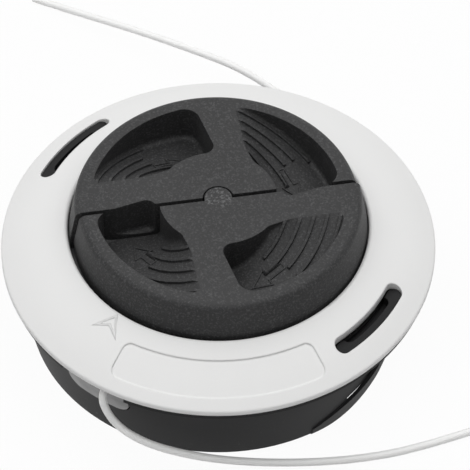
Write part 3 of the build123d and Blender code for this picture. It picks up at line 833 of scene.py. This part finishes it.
@dataclass
class FreeLine:
    """Free end of the trimmer line, from inside its eyelet to its cut end."""

    name: str
    node: str
    route: tuple[Point, ...]
    length: float
    diameter: float = 2.4 * MM
    roundness: int = 6
    smoothness: int = 12
    curve_order: int = 3
    skirt_radius: float = 64.4 * MM
    exit_height: float = 27.5 * MM

    def points(self) -> list[Vector]:
        """Gives the route in metres.

        Returns:
            Places made from distances off the skirt, azimuths and shares of the exit's height.
        """
        places = []
        for stand, azimuth, share in self.route:
            radius = self.skirt_radius + stand * MM
            angle = math.radians(azimuth)
            across = (radius * math.cos(angle), radius * math.sin(angle))
            places.append(Vector((*across, share * self.exit_height)))
        return places

    def build(self, parts: FrameParts) -> None:
        """Makes the line as one smooth spline.

        Args:
            parts: The frame and its finishes.
        """
        data = bpy.data.curves.new(self.name, "CURVE")
        data.dimensions = "3D"
        data.bevel_depth = self.diameter / 2
        data.bevel_resolution = self.roundness
        data.use_fill_caps = True
        spline = data.splines.new("NURBS")
        places = self.points()
        spline.points.add(len(places) - 1)
        for point, place in zip(spline.points, places):
            point.co = (*place, 1.0)
        spline.order_u = self.curve_order
        spline.use_endpoint_u = True
        spline.resolution_u = self.smoothness
        spline.use_smooth = True
        data.materials.append(parts.material(parts.finishes.line))
        piece = bpy.data.objects.new(self.name, data)
        bpy.context.scene.collection.objects.link(piece)
        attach(piece, Body.HOUSING.value)
        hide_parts(self.node)
        LOG.info("%s: free line of %.0f mm", self.name, self.length / MM)


@dataclass
class FreeLines:
    """Both free ends of the trimmer line; their points repeat the solids' routes."""

    front: FreeLine = field(
        default_factory=lambda: FreeLine(
            name="front_line",
            node="line_front",
            route=(
                (-4.8, -122.3, 1.000),
                (1.8, -122.2, 0.996),
                (2.5, -119.6, 0.709),
                (2.8, -114.8, 0.545),
                (2.5, -107.8, 0.436),
                (1.5, -99.2, 0.335),
                (1.3, -88.3, 0.240),
                (3.6, -72.8, 0.153),
                (10.2, -56.7, 0.087),
                (19.1, -43.6, 0.058),
                (28.5, -32.9, 0.051),
            ),
            length=131.2 * MM,
        )
    )
    rear: FreeLine = field(
        default_factory=lambda: FreeLine(
            name="rear_line",
            node="line_rear",
            route=(
                (-4.8, 57.7, 1.000),
                (1.8, 57.8, 0.996),
                (5.8, 62.9, 0.836),
                (8.8, 68.2, 0.727),
                (13.7, 74.4, 0.625),
                (21.6, 80.9, 0.538),
                (30.1, 87.3, 0.444),
                (39.1, 94.2, 0.349),
                (50.1, 100.85, 0.262),
                (62.0, 106.5, 0.175),
                (74.5, 111.3, 0.095),
                (86.4, 115.1, 0.055),
            ),
            length=139.3 * MM,
        )
    )

    def build(self, parts: FrameParts) -> None:
        """Makes both lines."""
        for line in (self.front, self.rear):
            line.build(parts)


@dataclass
class Housing:
    """Black housing with its eyelets and drive nut."""

    def dress(self, parts: FrameParts) -> None:
        """Gives the housing's nodes their finishes."""
        for moulding in ("housing", "drive_hub"):
            parts.dress(moulding, parts.finishes.housing)
        parts.dress("drive_nut", parts.finishes.nut)
        for eyelet in ("eyelet_front", "eyelet_rear"):
            parts.dress(eyelet, parts.finishes.eyelet)


@dataclass
class CoverRing:
    """White cover ring with a small pointer towards the knob."""

    pointer_azimuth: float = math.radians(-129.2)
    pointer: RaisedOutline = RaisedOutline(
        corners=(
            (48.0 * MM, 0.0),
            (53.2 * MM, -3.7 * MM),
            (51.2 * MM, 0.0),
            (53.2 * MM, 3.7 * MM),
        ),
        line=0.8 * MM,
        stand=0.1 * MM,
    )

    def dress(self, parts: FrameParts) -> None:
        """Gives the cover its finish and lays the pointer on it."""
        parts.dress("cover", parts.finishes.cover)
        turn = Matrix.Rotation(self.pointer_azimuth, 4, "Z")
        material = parts.material(parts.finishes.cover)
        ground = parts.surface("cover")
        self.pointer.build("cover_pointer", turn, ground, material, Body.HOUSING)


@dataclass
class BumpKnob:
    """Bump knob in two halves, with a turning arrow and an inner rib in each finger pocket.

    Each of its pockets is a number of quarter turns and the side of the half that holds it.
    """

    pockets: tuple[tuple[int, int], ...] = ((-1, 1), (0, 1), (1, -1), (2, -1))
    arrow_tail: Point = (19.0 * MM, -20.0 * MM, 0.0)
    arrow_heading: float = math.radians(-146.6)
    half_offset: float = 0.5 * MM
    slit_azimuth: float = math.radians(9.3)
    arrow: RaisedOutline = RaisedOutline(
        corners=(
            (0.0, -1.0 * MM),
            (5.6 * MM, -1.0 * MM),
            (5.6 * MM, -2.9 * MM),
            (10.9 * MM, 0.0),
            (5.6 * MM, 2.9 * MM),
            (5.6 * MM, 1.0 * MM),
            (0.0, 1.0 * MM),
        ),
        line=0.45 * MM,
        stand=0.3 * MM,
    )
    inner_rib: GripRib = GripRib(
        radius=21.35 * MM,
        width=0.95 * MM,
        start=math.radians(-25.5),
        end=math.radians(-53.0),
        stand=0.9 * MM,
    )

    def dress(self, parts: FrameParts) -> None:
        """Gives both halves their finish and lays signs and ribs on the pockets' floors."""
        for half in ("knob_near_half", "knob_far_half"):
            parts.dress(half, parts.finishes.knob)
        ground = parts.surface("knob_near_half", "knob_far_half")
        material = parts.material(parts.finishes.knob)
        along = Vector((math.cos(self.slit_azimuth), math.sin(self.slit_azimuth), 0.0))
        heading = Matrix.Rotation(self.arrow_heading, 4, "Z")
        in_pocket = Matrix.Translation(self.arrow_tail) @ heading
        for pocket, side in self.pockets:
            turn = Matrix.Rotation(pocket * math.pi / 2, 4, "Z")
            half = Matrix.Translation(along * side * self.half_offset) @ turn
            number = pocket % 4 + 1
            shared = (ground, material, Body.SPOOL)
            self.arrow.build(f"turning_arrow_{number}", half @ in_pocket, *shared)
            self.inner_rib.build(f"inner_rib_{number}", half, *shared)


@dataclass
class LineSpool:
    """Spool with its wound line, spring and thrust washer."""

    bump_travel: float = 6.0 * MM
    weld: float = 0.001 * MM

    def dress(self, parts: FrameParts) -> None:
        """Gives the inner pieces their finishes."""
        parts.dress("spool", parts.finishes.spool)
        for winding in ("winding_lower", "winding_upper"):
            parts.dress(winding, parts.finishes.line)
        parts.dress("spring_washer", parts.finishes.spring)
        self._spring(parts)

    def _spring(self, parts: FrameParts) -> None:
        """Copies the spring as one smooth-shaded piece that rides on the housing."""
        mesh = bmesh.new()
        mesh.from_mesh(parts.nodes["feed_spring"].data)
        bmesh.ops.remove_doubles(mesh, verts=mesh.verts, dist=self.weld)
        for face in mesh.faces:
            face.smooth = True
        steel = parts.material(parts.finishes.spring)
        piece = new_piece("compression_spring", mesh, steel, Body.HOUSING)
        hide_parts("feed_spring")
        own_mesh(piece)


@dataclass(frozen=True)
class Softbox:
    """Square lamp that faces the object: place and side in metres, power in watts."""

    name: str
    place: Point
    side: float
    power: float


@dataclass
class Studio:
    """Pale floor, soft light and the camera."""

    key: Softbox = Softbox("key_softbox", (0.0, 0.1, 1.05), side=2.0, power=21.0)
    fill: Softbox = Softbox("fill_softbox", (-0.9, -0.9, 0.6), side=0.8, power=1.0)
    floor_radius: float = 6.0
    floor_sides: int = 64
    floor_tone: Colour = (0.75, 0.75, 0.75)
    floor_clear: float = 0.96
    sky_strength: float = 0.06
    target: Point = (0.0, 0.0, 30.5 * MM)
    distance: float = 0.9
    elevation: float = math.radians(49.42)
    lens: float = 222.96
    sensor: float = 36.0
    shift: tuple[float, float] = (0.0357, 0.0171)

    def build(self) -> None:
        """Sets up everything around the object."""
        scene = bpy.context.scene
        scene.view_settings.view_transform = "Standard"
        self._floor()
        self._world(scene)
        for box in (self.key, self.fill):
            self._lamp(box)
        self._camera(scene)

    def _floor(self) -> None:
        """Pale floor that lets the white sky show to the camera and keeps the object's shadow."""
        mesh = bmesh.new()
        bmesh.ops.create_circle(
            mesh, cap_ends=True, segments=self.floor_sides, radius=self.floor_radius
        )
        data = bpy.data.meshes.new("studio_floor")
        mesh.to_mesh(data)
        mesh.free()
        floor = bpy.data.objects.new("studio_floor", data)
        bpy.context.scene.collection.objects.link(floor)
        material = bpy.data.materials.new("floor_pale")
        material.use_nodes = True
        material.node_tree.nodes.clear()
        bench = NodeBench(material.node_tree)
        matt = bench.add("ShaderNodeBsdfDiffuse", {"Color": opaque(self.floor_tone)})
        clear = bench.add("ShaderNodeBsdfTransparent")
        below = bench.add("ShaderNodeNewGeometry").outputs["Backfacing"]
        seen = bench.math("MULTIPLY", self._seen(bench), self.floor_clear)
        share = bench.math("MAXIMUM", seen, below)
        shaders = {0: share, 1: matt.outputs[0], 2: clear.outputs[0]}
        shown = bench.add("ShaderNodeMixShader", shaders)
        bench.add("ShaderNodeOutputMaterial", {"Surface": shown.outputs[0]})
        data.materials.append(material)
        floor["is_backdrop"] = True

    @staticmethod
    def _seen(bench: NodeBench) -> bpy.types.NodeSocket:
        """Mask of rays that show the background: camera, glossy and transmission rays."""
        path = bench.add("ShaderNodeLightPath").outputs
        straight = bench.math("MAXIMUM", path["Is Camera Ray"], path["Is Transmission Ray"])
        return bench.math("MAXIMUM", straight, path["Is Glossy Ray"])

    def _world(self, scene: bpy.types.Scene) -> None:
        """Even sky: white where it is seen, dimmer where it lights the object."""
        world = bpy.data.worlds.new("studio_sky")
        world.use_nodes = True
        world.node_tree.nodes.clear()
        bench = NodeBench(world.node_tree)
        strength = bench.ramp(self._seen(bench), 0.0, 1.0, self.sky_strength, 1.0)
        white = opaque((1.0, 1.0, 1.0))
        sky = bench.add("ShaderNodeBackground", {"Color": white, "Strength": strength})
        bench.add("ShaderNodeOutputWorld", {"Surface": sky.outputs[0]})
        scene.world = world

    def _lamp(self, box: Softbox) -> None:
        """Hangs one softbox.

        Args:
            box: The lamp to hang.
        """
        data = bpy.data.lights.new(box.name, "AREA")
        data.size = box.side
        data.energy = box.power
        lamp = bpy.data.objects.new(box.name, data)
        lamp.location = box.place
        towards = Vector(self.target) - Vector(box.place)
        lamp.rotation_euler = towards.to_track_quat("-Z", "Y").to_euler()
        bpy.context.scene.collection.objects.link(lamp)

    def _camera(self, scene: bpy.types.Scene) -> None:
        """Camera at the photograph's viewing angle."""
        data = bpy.data.cameras.new("photo_camera")
        data.sensor_width = self.sensor
        data.lens = self.lens
        data.shift_x, data.shift_y = self.shift
        camera = bpy.data.objects.new("photo_camera", data)
        back = Vector((0.0, -math.cos(self.elevation), math.sin(self.elevation)))
        camera.location = Vector(self.target) + back * self.distance
        camera.rotation_euler = (-back).to_track_quat("-Z", "Y").to_euler()
        scene.collection.objects.link(camera)
        scene.camera = camera


def corners() -> list[list[float]]:
    """Lowest and highest corner of the shown object, as plain lists."""
    return [list(corner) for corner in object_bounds()]


def main() -> None:
    """Builds the head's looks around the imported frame."""
    logging.basicConfig(level=logging.INFO, format="%(name)s: %(message)s")
    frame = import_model()
    parts = FrameParts(nodes=frame["nodes"], shelf=EffectShelf())
    Studio().build()
    FreeLines().build(parts)
    Housing().dress(parts)
    CoverRing().dress(parts)
    BumpKnob().dress(parts)
    LineSpool().dress(parts)


if __name__ == "__main__":
    main()
